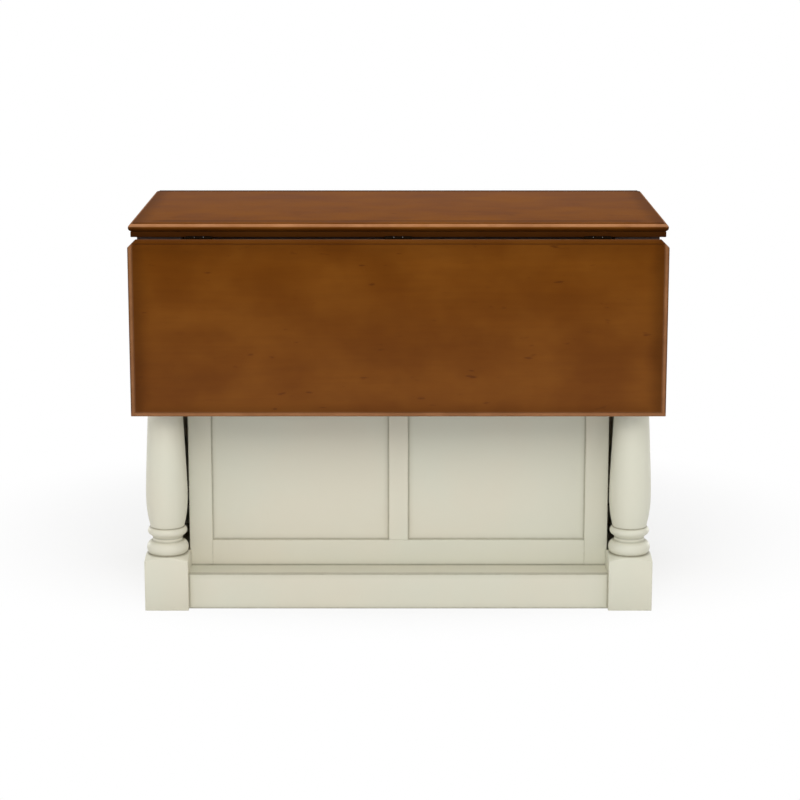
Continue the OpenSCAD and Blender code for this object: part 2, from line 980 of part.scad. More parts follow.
// Magnetic catches on the back of the middle rails, just behind the doors
module door_catches() {
    low = opening_in + 4;
    gap = 0.5;
    color("#3b3a38")
        both_sides() {
            board([low, face_back_y - 3, door_high_z], [low + 40, face_back_y, door_high_z + 16]);
            board([low, face_back_y - 14, door_high_z - 12], [low + 40, face_back_y - gap, door_high_z]);
        }
}

module door_right_frame() {
    door_frame();
}

module door_right_panel() {
    door_panel();
}

module door_right_knob() {
    door_knob();
}

module door_right_hinges() {
    door_hinges();
}

module door_right_screws() {
    door_screws();
}

module door_left_frame() {
    on_left() door_frame();
}

module door_left_panel() {
    on_left() door_panel();
}

module door_left_knob() {
    on_left() door_knob();
}

module door_left_hinges() {
    on_left() door_hinges();
}

module door_left_screws() {
    on_left() door_screws();
}

worktop();
worktop_strips();
leaf_board();
leaf_strips();
leaf_hinge_plates();
leaf_hinge_flaps();
stay_brackets();
stay_pivot_pins();
stay_arm_left();
stay_arm_right();
stay_channels();
hinge_pins();
frame_screws();
leaf_screws();
top_cleats();
post_leaf_left();
post_leaf_right();
post_door_left();
post_door_right();
base_boards_long();
base_boards_ends();
deck();
leaf_apron();
back_stiles();
back_rails();
back_mullion();
back_panels();
side_frame_left();
side_frame_right();
side_panel_left();
side_panel_right();
carcass_side_left();
carcass_side_right();
centre_divider();
face_stiles();
face_centre_stile();
face_rails();
shelves();
shelf_pins();
drawer_runners();
drawer_left_front();
drawer_left_box();
drawer_left_bottom();
drawer_left_knob();
drawer_right_front();
drawer_right_box();
drawer_right_bottom();
drawer_right_knob();
door_left_frame();
door_left_panel();
door_left_knob();
door_left_hinges();
door_left_screws();
door_right_frame();
door_right_panel();
door_right_knob();
door_right_hinges();
door_right_screws();
door_hinge_plates();
door_catches();
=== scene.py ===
import math
import bpy
import bmesh
from mathutils import Matrix, Vector


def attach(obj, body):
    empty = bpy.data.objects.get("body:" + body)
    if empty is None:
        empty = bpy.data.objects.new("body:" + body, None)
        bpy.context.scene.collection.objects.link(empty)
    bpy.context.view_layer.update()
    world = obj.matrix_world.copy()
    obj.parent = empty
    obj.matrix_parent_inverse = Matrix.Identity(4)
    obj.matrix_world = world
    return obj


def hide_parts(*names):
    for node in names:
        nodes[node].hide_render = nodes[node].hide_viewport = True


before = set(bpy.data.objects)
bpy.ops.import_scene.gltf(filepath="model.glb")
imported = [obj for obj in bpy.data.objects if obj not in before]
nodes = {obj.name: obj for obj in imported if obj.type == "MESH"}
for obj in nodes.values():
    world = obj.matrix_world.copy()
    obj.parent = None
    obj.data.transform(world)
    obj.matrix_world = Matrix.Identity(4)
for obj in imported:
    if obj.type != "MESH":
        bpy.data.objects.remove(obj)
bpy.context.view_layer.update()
print("frame loaded")


class Signal:
    # one output of a shader node; an expression on it adds Math nodes
    def __init__(self, recipe, socket):
        self.recipe = recipe
        self.socket = socket

    def math(self, operation, first, second=None):
        values = {"Value": first}
        if second is not None:
            values["Value_001"] = second
        return self.recipe.node("ShaderNodeMath", {"operation": operation}, values)["Value"]

    def __add__(self, other):
        return self.math("ADD", self, other)

    def __radd__(self, other):
        return self.math("ADD", other, self)

    def __sub__(self, other):
        return self.math("SUBTRACT", self, other)

    def __rsub__(self, other):
        return self.math("SUBTRACT", other, self)

    def __mul__(self, other):
        return self.math("MULTIPLY", self, other)

    def __rmul__(self, other):
        return self.math("MULTIPLY", other, self)

    def __pow__(self, other):
        return self.math("POWER", self, other)

    def __abs__(self):
        return self.math("ABSOLUTE", self)

    def lower(self, other):
        return self.math("MINIMUM", self, other)

    def higher(self, other):
        return self.math("MAXIMUM", self, other)

    def ease(self, start, end):
        # 0 at start, 1 at end, smooth between them; start may be the higher one
        return self.recipe.node("ShaderNodeMapRange", {"interpolation_type": "SMOOTHSTEP"},
                                {"Value": self, "From Min": start, "From Max": end})["Result"]


class Outputs:
    # the outputs of one node, by identifier
    def __init__(self, recipe, made):
        self.recipe = recipe
        self.made = made

    def __getitem__(self, key):
        for socket in self.made.outputs:
            if socket.identifier == key:
                return Signal(self.recipe, socket)
        raise KeyError(key)


class Recipe:
    # the node tree of one material, or of the world
    def __init__(self, name, world=None):
        self.material = world or bpy.data.materials.new(name)
        self.material.use_nodes = True
        self.tree = self.material.node_tree
        self.tree.nodes.clear()
        self.place = None

    def node(self, kind, settings=None, values=None):
        made = self.tree.nodes.new(kind)
        for key, value in (settings or {}).items():
            setattr(made, key, value)
        for key, value in (values or {}).items():
            socket = next(s for s in made.inputs if s.identifier == key)
            if isinstance(value, Signal):
                self.tree.links.new(value.socket, socket)
            elif isinstance(value, tuple) and len(value) == 3 and socket.type == "RGBA":
                socket.default_value = (*value, 1.0)
            else:
                socket.default_value = value
        return Outputs(self, made)

    def where(self):
        if self.place is None:
            self.place = self.node("ShaderNodeTexCoord")["Object"]
        return self.place

    def axes(self):
        split = self.node("ShaderNodeSeparateXYZ", None, {"Vector": self.where()})
        return split["X"], split["Y"], split["Z"]

    def stretched(self, scale, shift=(0.0, 0.0, 0.0)):
        return self.node("ShaderNodeMapping", None,
                         {"Vector": self.where(), "Scale": scale, "Location": shift})["Vector"]

    def noise(self, scale, detail=3.0, rough=0.5, at=None):
        return self.node("ShaderNodeTexNoise", None,
                         {"Vector": at or self.where(), "Scale": scale, "Detail": detail,
                          "Roughness": rough})["Fac"]

    def mix(self, share, first, second, way="MIX"):
        values = {"Factor_Float": share, "A_Color": first, "B_Color": second}
        return self.node("ShaderNodeMix", {"data_type": "RGBA", "blend_type": way},
                         values)["Result_Color"]

    def edges(self, radius, low=0.02, high=0.2):
        # 1 along the piece's own arrises, from how far a rounded normal leans from the true one
        bent = self.node("ShaderNodeBevel", {"samples": 6}, {"Radius": radius})["Normal"]
        true = self.node("ShaderNodeNewGeometry")["Normal"]
        lean = self.node("ShaderNodeVectorMath", {"operation": "DOT_PRODUCT"},
                         {"Vector": bent, "Vector_001": true})["Value"]
        return (1 - lean).ease(low, high)

    def finish(self, colour, roughness, height, relief, depth, **constants):
        # height feeds the bump; constants are further sockets of the shader, _ for a space
        bump = self.node("ShaderNodeBump", None,
                         {"Strength": relief, "Distance": depth, "Height": height})["Normal"]
        values = {"Base Color": colour, "Roughness": roughness, "Normal": bump}
        values.update({key.replace("_", " "): value for key, value in constants.items()})
        shader = self.node("ShaderNodeBsdfPrincipled", None, values)["BSDF"]
        self.node("ShaderNodeOutputMaterial", None, {"Surface": shader})
        return self.material


def tone(hexValue):
    # a colour as it looks on screen, such as "6b3c12", in linear light
    parts = [int(hexValue[i:i + 2], 16) / 255 for i in (0, 2, 4)]
    return tuple(p / 12.92 if p <= 0.04045 else ((p + 0.055) / 1.055) ** 2.4 for p in parts)


# the brown stain of the worktop and the leaf; in a pair of distances the tone is absent at the
# first and full at the second, in metres from the named edge of the face
stain = {
    "deep": "66370a",
    "middle": "6e3d0c",
    "light": "784613",
    "edge": "2e1305",
    "fleck": "3c1a06",
    "run": "43200f",  # painted shade on the top few millimetres of the painted parts under the worktop, where the slit lies dark
    "runLevel": (0.8725, 0.8745),  # heights where that starts and where it is full
    # the lighter tone on the noses: stain rubbed back, and a painted highlight
    "rubbed": "bd8860",
    # paler and pinker towards the far edge
    "haze": "c4a2a2",
    "hazeShare": 0.016,  # at the far edge
    "roughness": 0.42,
    "shine": 0.05,  # specular level of the thin lacquer
    "sheen": "f0b98a",  # and its tint
    "rimShare": 0.42,
    "rimEnd": (0.055, 0.012),
    "rimHinged": (0.06, 0.015),
    "rimFar": (0.04, 0.012),
    "stepLine": 0.0003,  # how far inside the small step its dark line runs
    "stepHinged": (0.0022, 0.0004),
    "stepOther": (0.0016, 0.0004),
    "stepShare": 0.25,
    "burnishAt": 0.041,  # the middle of the burnished line
    "burnishWidth": (0.012, 0.004),
    "burnishEnd": (0.03, 0.08),
    "darkFar": (0.042, 0.026),
    "darkHinged": (0.008, 0.002),
    "wornOuter": (0.0, 0.0007),
    "wornInner": (0.0095, 0.0045),
    "wornCorner": (0.0012, 0.004),
    "wornDepth": (0.0105, 0.0075),  # below the face; the lighter tone stays on the upper half of the nose, facing the light, as a painted highlight
    "underDepth": (0.0095, 0.0135),  # where the shaded lower half of the nose is, darkened there as painted shade
}


def noseWearAndHighlight(distance):
    # the rounded part of a nose, where the stain is rubbed back and a highlight is painted
    return distance.ease(*stain["wornInner"]) * distance.ease(*stain["wornOuter"])


def stainedWood(name, board, shade=1.0, shift=0.0, shine=None):
    # board says where the face lies and how strong each tone is on it; the worktop runs back
    # from its hinged edge along Y, the leaf hangs down from its own along Z
    recipe = Recipe(name)
    x, y, z = recipe.axes()
    if board["along"] == "Y":
        hinged, deep = y - board["edge"], slab["top"] - z
    else:
        hinged = board["edge"] - z
        deep = y - slab["front"] + slab["thick"] + slab["stripThick"]
    fromEnd = board["half"] - abs(x)
    fromFar = board["length"] - hinged
    cloud = recipe.noise(1.0, 3.0, 0.5, recipe.stretched((5.5, 7.5, 7.5), (shift, 0.3, 0.1)))
    mottle = recipe.noise(1.0, 4.0, 0.6, recipe.stretched((14.0, 22.0, 22.0), (shift, 1.3, 0.1)))
    grain = recipe.noise(1.0, 5.0, 0.6,
                         recipe.stretched((6.0, 110.0, 110.0), (0.0, shift, shift)))
    pores = recipe.noise(1.0, 2.0, 0.5,
                         recipe.stretched((30.0, 560.0, 560.0), (shift, 0.0, 0.0)))
    flecks = recipe.noise(1.0, 2.0, 0.5,
                          recipe.stretched((20.0, 75.0, 75.0), (0.4, shift, 0.0)))
    tint = recipe.mix(cloud.ease(0.3, 0.7), tone(stain["deep"]), tone(stain["light"]))
    tint = recipe.mix(mottle.ease(0.3, 0.7) * 0.35, tint, tone(stain["middle"]))
    value = shade * (0.96 + 0.08 * grain.ease(0.3, 0.72)) * (1 - 0.07 * pores.ease(0.58, 0.75))
    grey = recipe.node("ShaderNodeCombineXYZ", None, {"X": value, "Y": value, "Z": value})
    colour = recipe.mix(1.0, tint, grey["Vector"], "MULTIPLY")
    colour = recipe.mix(flecks.ease(0.68, 0.78) * 0.5, colour, tone(stain["fleck"]))
    haze = hinged.ease(0.0, board["length"]) * stain["hazeShare"]
    colour = recipe.mix(haze, colour, tone(stain["haze"]))
    # darker toward the edges of the face
    wander = (mottle - 0.5) * 0.02
    rim = (fromEnd + wander).ease(*stain["rimEnd"])
    rim = rim.higher((hinged + wander).ease(*stain["rimHinged"]) * board["rim"])
    rim = rim.higher((fromFar + wander).ease(*stain["rimFar"]) * 0.5)
    colour = recipe.mix(rim * stain["rimShare"], colour, tone(stain["edge"]))
    # dark along the small step, along the burnished line and beside the far edge
    inside = slab["band"] + stain["stepLine"]
    line = abs(hinged + board["band"] - inside).ease(*stain["stepHinged"]) * board["line"]
    step = abs(fromEnd.lower(fromFar) - inside).ease(*stain["stepOther"]) * stain["stepShare"]
    burnish = abs(hinged + wander * 0.2 - stain["burnishAt"]).ease(*stain["burnishWidth"])
    burnish = burnish * fromEnd.ease(*stain["burnishEnd"]) * board["burnish"]
    burnish = burnish.higher(fromFar.ease(*stain["darkFar"]) * board["farDark"])
    burnish = burnish.higher(hinged.ease(*stain["darkHinged"]) * board["hingedDark"])
    colour = recipe.mix(line.higher(step).higher(burnish), colour, tone(stain["edge"]))
    # rubbed back along the nose, with a painted highlight on its upper half, and painted shade
    # under it
    ends, front, back = board["rubs"]
    rubbed = noseWearAndHighlight(fromEnd * board["spread"]) * fromEnd.ease(*stain["wornCorner"]) * ends
    rubbed = rubbed.higher(noseWearAndHighlight(hinged + board["band"]) * front)
    rubbed = rubbed.higher(noseWearAndHighlight(fromFar * board["spread"]) * back)
    rubbed = rubbed * (0.72 + 0.28 * mottle.ease(0.35, 0.65))
    colour = recipe.mix(rubbed * deep.ease(*stain["wornDepth"]), colour, tone(stain["rubbed"]))
    # painted shade on the lower half of the nose
    colour = recipe.mix(deep.ease(*stain["underDepth"]) * 0.5, colour, tone(stain["edge"]))
    roughness = stain["roughness"] + (cloud - 0.5) * 0.14 + pores * 0.05
    return recipe.finish(colour, roughness, grain * 0.5 - pores.ease(0.5, 0.8) * 0.5, 0.1, 0.0005,
                         Specular_IOR_Level=shine or stain["shine"],
                         Specular_Tint=tone(stain["sheen"]))


paint = {
    "coat": "d8d5c4",
    "warm": "d7d0bc",
    "cool": "d3d3c1",
    "coatShare": 0.45,
    "rub": "7d6a4c",
    "rubShare": 0.8,
    "rubWidth": 0.0026,
    # colour of the glazing, and of the painted shade in hollows
    "glaze": "7f7963",
    "dustShare": 0.2,
    "dustWidth": 0.005,
    "roughness": 0.46,
}


def rubbedPaint(name, glazeAndShadeAt=None, rubs=1.0, shift=0.0, slitShaded=False):
    # the second argument draws glazing and painted shade; the last paints shade atop boards under
    # the worktop
    recipe = Recipe(name)
    cloud = recipe.noise(3.2, 3.0, 0.5, recipe.stretched((1.0, 1.0, 1.0), (shift, shift, 0.0)))
    fine = recipe.noise(60.0, 3.0, 0.6)
    strokes = recipe.noise(1.0, 2.0, 0.5, recipe.stretched((190.0, 190.0, 28.0)))
    patch = recipe.noise(14.0, 3.0, 0.65)
    colour = recipe.mix(cloud.ease(0.35, 0.65), tone(paint["warm"]), tone(paint["cool"]))
    colour = recipe.mix(paint["coatShare"], colour, tone(paint["coat"]))
    dust = recipe.edges(paint["dustWidth"], 0.01, 0.3) * paint["dustShare"]
    colour = recipe.mix(dust, colour, tone(paint["glaze"]))
    if glazeAndShadeAt is not None:
        # glazing and painted shade where the second argument draws them
        colour = recipe.mix(glazeAndShadeAt(recipe) * (0.55 + 0.45 * fine), colour, tone(paint["glaze"]))
    bare = recipe.edges(paint["rubWidth"], 0.03, 0.18) * patch.ease(0.46, 0.6)
    bare = bare * (paint["rubShare"] * rubs)
    colour = recipe.mix(bare, colour, tone(paint["rub"]))
    if slitShaded:
        # painted shade across the top few millimetres, under the worktop
        run = recipe.axes()[2].ease(*stain["runLevel"])
        colour = recipe.mix(run, colour, tone(stain["run"]))
    roughness = paint["roughness"] + (fine - 0.5) * 0.12 + bare * 0.2
    return recipe.finish(colour, roughness, strokes * 0.6 + fine * 0.4 - bare * 1.5, 0.08, 0.0004)


bareWood = {
    "pale": "c9ae82",
    "dark": "a98859",
    "roughness": 0.5,
    # how fine the grain is along each axis, by the direction the board runs in
    "grain": {"X": (4.0, 70.0, 70.0), "Y": (70.0, 4.0, 70.0), "Z": (70.0, 70.0, 4.0)},
}


def plainWood(name, along="X", across=None):
    # across: beyond these two places along Y the boards run along X; the others keep their own
    recipe = Recipe(name)
    scales = bareWood["grain"]
    grain = recipe.noise(1.0, 5.0, 0.6, recipe.stretched(scales[along]))
    broad = recipe.noise(1.0, 2.0, 0.5, recipe.stretched(tuple(v / 7 for v in scales[along])))
    if across is not None:
        (back, front), sharp = across, 0.0001
        y = recipe.axes()[1]
        there = y.ease(back + sharp, back).higher(y.ease(front, front + sharp))
        turned = recipe.noise(1.0, 5.0, 0.6, recipe.stretched(scales["X"]))
        grain = turned * there + grain * (1 - there)
    colour = recipe.mix((grain * 0.6 + broad * 0.4).ease(0.32, 0.68),
                        tone(bareWood["dark"]), tone(bareWood["pale"]))
    colour = recipe.mix(recipe.edges(0.003) * 0.25, colour, tone(bareWood["dark"]))
    return recipe.finish(colour, bareWood["roughness"] + grain * 0.1, grain, 0.15, 0.0005)


metals = {
    "agedBrass": {"base": "261d13", "rubbed": "54432a", "roughness": 0.42},
    "stainedBrass": {"base": "150f0a", "rubbed": "2c2015", "roughness": 0.6},
    "zincSteel": {"base": "8d9093", "rubbed": "b9bcbe", "roughness": 0.34},
}


def agedMetal(name):
    look = metals[name]
    recipe = Recipe(name)
    spots = recipe.noise(90.0, 4.0, 0.6)
    fine = recipe.noise(900.0, 2.0, 0.5)
    rubbed = recipe.edges(0.0012, 0.02, 0.25) * 0.8 + spots.ease(0.55, 0.75) * 0.25
    colour = recipe.mix(rubbed, tone(look["base"]), tone(look["rubbed"]))
    roughness = look["roughness"] + (spots - 0.5) * 0.25 + fine * 0.08 - rubbed * 0.1
    return recipe.finish(colour, roughness, fine * 0.5 + spots * 0.5, 0.1, 0.0002, Metallic=1.0)


catch = {"dark": "1c1b1a", "pale": "2d2b29", "edge": "55524e", "roughness": 0.5}


def catchPlastic():
    recipe = Recipe("catchPlastic")
    fine = recipe.noise(400.0, 3.0, 0.6)
    colour = recipe.mix(fine, tone(catch["dark"]), tone(catch["pale"]))
    colour = recipe.mix(recipe.edges(0.001) * 0.4, colour, tone(catch["edge"]))
    return recipe.finish(colour, catch["roughness"] + fine * 0.15, fine, 0.1, 0.0002)


print("recipes ready")


def addObject(name, data):
    made = bpy.data.objects.new(name, data)
    bpy.context.scene.collection.objects.link(made)
    return made


def addPiece(name, shape, material, body, replaced, angle=32.0):
    # angle: from how many degrees on an edge is drawn sharp
    bmesh.ops.remove_doubles(shape, verts=shape.verts, dist=0.000005)
    bmesh.ops.recalc_face_normals(shape, faces=shape.faces)
    mesh = bpy.data.meshes.new(name)
    shape.to_mesh(mesh)
    shape.free()
    for face in mesh.polygons:
        face.use_smooth = True
    mesh.set_sharp_from_angle(angle=math.radians(angle))
    mesh.materials.append(material)
    piece = addObject(name, mesh)
    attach(piece, body)
    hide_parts(*replaced)


def easeEdges(shape, edges, width, clamp=False):
    bmesh.ops.bevel(shape, geom=edges, offset=width, offset_type="OFFSET", segments=2,
                    profile=0.5, affect="EDGES", clamp_overlap=clamp, material=-1)


def spun(points, axis, steps):
    # one line of points turned all the way round an axis through the origin
    shape = bmesh.new()
    verts = [shape.verts.new(point) for point in points]
    chain = [shape.edges.new(pair) for pair in zip(verts, verts[1:])]
    bmesh.ops.spin(shape, geom=verts + chain, cent=(0, 0, 0), axis=axis, dvec=(0, 0, 0),
                   angle=math.tau, steps=steps, use_merge=True, use_duplicate=False)
    bmesh.ops.remove_doubles(shape, verts=shape.verts, dist=0.00001)
    return shape


def arcPoints(radius, height, wide, tall, start, end, count):
    angles = [math.radians(start + (end - start) * i / count) for i in range(count + 1)]
    return [(radius + wide * math.cos(a), height + tall * math.sin(a)) for a in angles]


def easeNode(name, material, width=0.0012, steps=2):
    # keeps a CAD node and softens its arrises
    piece = nodes[name]
    piece.data.materials.clear()
    piece.data.materials.append(material)
    weld = piece.modifiers.new("weld", "WELD")
    weld.merge_threshold = 0.00001
    bevel = piece.modifiers.new("ease", "BEVEL")
    bevel.width = width
    bevel.segments = steps
    bevel.limit_method = "ANGLE"
    bevel.angle_limit = math.radians(30)


slab = {
    "width": 1.22,
    "depth": 0.635,
    "thick": 0.019,
    "nose": 0.0085,  # radius of the rounded nose
    "noseSteps": 8,
    "band": 0.0115,  # whole width of the moulding
    "step": 0.00198,
    # from the nose inward: shares of the width left over and of the step's height
    "stepShape": ((0.8, 0.0), (0.08, 0.3), (0.04, 0.5), (0.08, 0.2)),
    "cut": 0.019,  # across the leaf's corners on its hinged edge
    "mitre": 0.0012,  # how far the mitres are eased
    "mitreEdge": 0.006,  # only edges shorter than this lie on a mitre
    "stripThick": 0.013,
    "stripEase": 0.0015,
    "top": 0.9144,
    "front": -0.3015,
    "leafLength": 0.407,
    "leafGap": 0.001,
    "hingedNose": 0.0065,  # radius along the leaf's hinged edge
    "startThick": 0.00002,  # of the plate that the nose is built out from
    "sharpFrom": 40,
}
underside = slab["top"] - slab["thick"] - slab["stripThick"]


def insetFace(shape, face, inward, rise):
    bmesh.ops.inset_region(shape, faces=[face], thickness=inward, depth=rise,
                           use_even_offset=True, use_boundary=True)


def mouldedBoard(width, depth, cut=0.0, hingedNose=None):
    # a flat board with its hinged edge at y = 0 and its underside at z = 0
    half, radius = width / 2, slab["nose"]
    shape = bmesh.new()
    outline = [(-half + cut, 0), (half - cut, 0), (half, depth), (-half, depth)]
    if cut:
        outline[2:2] = [(half, cut)]
        outline.append((-half, cut))
    plate = shape.faces.new([shape.verts.new((x, y, radius)) for x, y in outline])
    wall = bmesh.ops.extrude_face_region(shape, geom=[plate])["geom"]
    lifted = [part for part in wall if isinstance(part, bmesh.types.BMVert)]
    bmesh.ops.translate(shape, vec=(0, 0, slab["startThick"]), verts=lifted)
    bmesh.ops.recalc_face_normals(shape, faces=shape.faces)
    top = max(shape.faces, key=lambda face: face.calc_center_median().z)
    bottom = min(shape.faces, key=lambda face: face.calc_center_median().z)
    steps = slab["noseSteps"]
    turns = [math.radians(90 * i / steps) for i in range(steps + 1)]
    for before, after in zip(turns, turns[1:]):
        inward = radius * (math.cos(before) - math.cos(after))
        rise = radius * (math.sin(after) - math.sin(before))
        for face in (top, bottom):
            insetFace(shape, face, inward, rise)
    flat = slab["band"] - radius
    for across, up in slab["stepShape"]:
        insetFace(shape, top, flat * across, slab["step"] * up)
    if hingedNose is not None:
        # a smaller nose along the hinged edge
        low = slab["thick"] - slab["step"] - radius
        share, under = hingedNose / radius, (low + radius - hingedNose) / low
        for vert in shape.verts:
            if vert.co.y < slab["band"] * 1.1 and abs(vert.co.x) < half - cut * 0.6:
                above = vert.co.z - radius - low
                if above < -radius * 0.999:
                    vert.co.z *= under
                    continue
                vert.co.z = radius + low + above * (share if above < 0 else 1.0)
                if vert.co.y < radius:
                    vert.co.y *= share
                else:
                    vert.co.y = vert.co.y - radius + hingedNose
    mitres = [edge for edge in shape.edges if edge.calc_length() < slab["mitreEdge"]]
    easeEdges(shape, mitres, slab["mitre"])
    return shape


# where a face lies and how strong each tone of the stain is on it; rubs are for the ends, the
# hinged edge and the far edge and set the rubbed stain with its painted highlight; spread draws
# the rubbed line wider where it is below 1
topBoard = {
    "half": slab["width"] / 2,
    "along": "Y",
    "edge": slab["front"],
    "length": slab["depth"],
    "band": 0.0,
    "rim": 0.0,
    "line": 0.12,
    "burnish": 0.6,
    "farDark": 0.9,
    "hingedDark": 0.0,
    "spread": 1.0,
    "rubs": (0.4, 0.6, 0.0),
}
leafSpan = {
    "half": slab["width"] / 2,
    "along": "Z",
    "edge": underside - slab["leafGap"],
    "length": slab["leafLength"],
    "band": slab["nose"] - slab["hingedNose"],
    "rim": 0.45,
    "line": 0.5,
    "burnish": 0.0,
    "farDark": 0.0,
    "hingedDark": 0.3,
    "spread": 0.65,
    "rubs": (0.42, 0.0, 0.5),
}
unrubbed = {"rubs": (0.0, 0.0, 0.0)}
topWood = stainedWood("topWood", topBoard, 0.87, 0.0, 0.002)
leafWood = stainedWood("leafWood", leafSpan, 0.9, 0.37)
# the strips in the shade under the noses: the same stain at half its value, as painted shade
shadedStripWood = stainedWood("shadedStripWood", {**topBoard, **unrubbed}, 0.5, 1.9)
shadedLeafStripWood = stainedWood("shadedLeafStripWood", {**leafSpan, **unrubbed}, 0.5, 2.6)

board = mouldedBoard(slab["width"], slab["depth"])
bmesh.ops.translate(board, vec=(0, slab["front"], slab["top"] - slab["thick"]), verts=board.verts)
addPiece("worktopBoard", board, topWood, "island", ["worktop"],
         slab["sharpFrom"])

board = mouldedBoard(slab["width"], slab["leafLength"], slab["cut"], slab["hingedNose"])
hang = Matrix(((1, 0, 0, 0),
               (0, 0, -1, slab["front"] - slab["stripThick"]),
               (0, -1, 0, underside - slab["leafGap"]),
               (0, 0, 0, 1)))
bmesh.ops.transform(board, matrix=hang, verts=board.verts)
addPiece("leafBoard", board, leafWood, "leaf", ["leaf_board"], slab["sharpFrom"])
easeNode("worktop_strips", shadedStripWood, slab["stripEase"])
easeNode("leaf_strips", shadedLeafStripWood, slab["stripEase"])
print("worktop and leaf done")


postShape = {
    "half": 0.0508,
    "centres": {"post_leaf_left": (-0.5412, -0.2307), "post_leaf_right": (0.5412, -0.2307),
                "post_door_left": (-0.5412, 0.2627), "post_door_right": (0.5412, 0.2627)},
    "top": 0.8824,
    "shoulder": 0.1186,  # height where the lathe first meets the lower block's corners
    "upperBlock": 0.716,  # the same on the upper block
    "slope": 0.39,
    "shoulderRadius": 0.0438,
    "waist": 0.035,
    "torus": 0.1428,
    "torusSize": (0.0137, 0.0162),
    "bead": 0.183,
    "beadSize": (0.011, 0.0102),
    "vase": 0.192,
    "belly": 0.267,
    "bellyRadius": 0.0485,
    "swell": (0.0095, 2.1),  # how much thinner the vase is at its foot, and the curve's power
    "taper": (0.049, 0.034),  # slope above the belly, and how softly it starts
    "neck": 0.622,
    "neckSize": (0.009, 0.009),
    "segments": 96,
    "ease": 0.0011,
    "easeFrom": 14,  # degrees between two faces from which their edge is eased
    "sharpFrom": 38,
}


def vaseRadius(z):
    p = postShape
    if z < p["belly"]:
        thinner, power = p["swell"]
        return p["bellyRadius"] - thinner * ((p["belly"] - z) / (p["belly"] - p["vase"])) ** power
    slope, soft = p["taper"]
    return p["bellyRadius"] - slope * (math.hypot(z - p["belly"], soft) - soft)


def postOutline():
    # radius and height from the lower shoulder to the upper one
    p = postShape
    waist, upper, neck, belly = p["waist"], p["upperBlock"], p["neck"], p["belly"]
    corner = p["half"] * math.sqrt(2)
    drop = p["slope"] * (corner - p["shoulderRadius"])
    line = [(p["shoulderRadius"], p["shoulder"] + drop)]
    line += arcPoints(waist, p["torus"], *p["torusSize"], -50, 88, 14)
    line += [(waist, p["torus"] + 0.0175), (waist, p["bead"] - 0.0155)]
    line += [(waist + 0.0005, p["bead"] - 0.0135)]
    line += arcPoints(waist, p["bead"], *p["beadSize"], -62, 60, 12)
    vase = [p["vase"] + (belly - p["vase"]) * i / 10 for i in range(10)]
    vase += [belly + (neck - belly) * i / 26 for i in range(27)]
    line += [(vaseRadius(z), z) for z in vase]
    line += [(waist, neck + 0.004)]
    line += arcPoints(waist, neck + 0.014, *p["neckSize"], -60, 60, 8)
    line += [(waist, neck + 0.026), (waist, upper - 0.040)]
    line += arcPoints(waist, upper - 0.024, *p["torusSize"], -88, 50, 14)
    return line + [(p["shoulderRadius"], upper - drop)]


def turnedPost(x, y):
    # the whole post is spun, then the rings of the two blocks are drawn out to a square
    p = postShape
    half, corner, slope = p["half"], p["half"] * math.sqrt(2), p["slope"]
    ends = {0.0: 0.0, p["shoulder"]: 1.0, p["upperBlock"]: -1.0, p["top"]: 0.0}
    line = [(corner * 0.5, 0.0), (corner, 0.0), (corner, p["shoulder"])] + postOutline()
    line += [(corner, p["upperBlock"]), (corner, p["top"]), (corner * 0.5, p["top"])]
    shape = spun([(r, 0, z) for r, z in line], (0, 0, 1), p["segments"])
    square = set()
    for vert in shape.verts:
        radius = math.hypot(vert.co.x, vert.co.y)
        if abs(radius - corner) < 0.0001:
            turn = next(t for z, t in ends.items() if abs(z - vert.co.z) < 0.0001)
            reach = half / max(abs(vert.co.x), abs(vert.co.y))
            vert.co.x *= reach
            vert.co.y *= reach
            vert.co.z += turn * slope * (corner - radius * reach)
            square.add(vert)
    for isEnd in (lambda z: z < 0.01, lambda z: z > 0.8):
        rim = [e for e in shape.edges if e.is_boundary and isEnd(e.verts[0].co.z)]
        bmesh.ops.contextual_create(shape, geom=rim)
    bmesh.ops.recalc_face_normals(shape, faces=shape.faces)
    arrises = [e for e in shape.edges if e.verts[0] in square and e.verts[1] in square
               and e.calc_face_angle(0) > math.radians(p["easeFrom"])]
    easeEdges(shape, arrises, p["ease"], True)
    bmesh.ops.translate(shape, vec=(x, y, 0), verts=shape.verts)
    return shape


def postGlazeAndShade(recipe):
    # darker glazing and painted shade in the lathe's grooves: height, half the width, how strong
    z = recipe.axes()[2]
    p = postShape
    grooves = [(p["shoulder"] + 0.0108, 0.0030, 1.0), (p["torus"] + 0.0175, 0.0035, 0.5),
               (p["bead"] - 0.0150, 0.0035, 0.6), (p["bead"] + 0.0100, 0.0028, 0.7),
               (p["neck"] + 0.003, 0.003, 0.7), (p["neck"] + 0.026, 0.004, 0.5),
               (p["upperBlock"] - 0.041, 0.003, 0.5), (p["upperBlock"] - 0.0108, 0.003, 1.0)]
    lines = [abs(z - level).ease(width, 0.0) * weight for level, width, weight in grooves]
    total = lines[0]
    for line in lines[1:]:
        total = total.higher(line)
    return total


postPaint = rubbedPaint("postPaint", postGlazeAndShade, slitShaded=True)
for name, (x, y) in postShape["centres"].items():
    addPiece("turned_" + name, turnedPost(x, y), postPaint, "island", [name],
             postShape["sharpFrom"])
print("posts done")


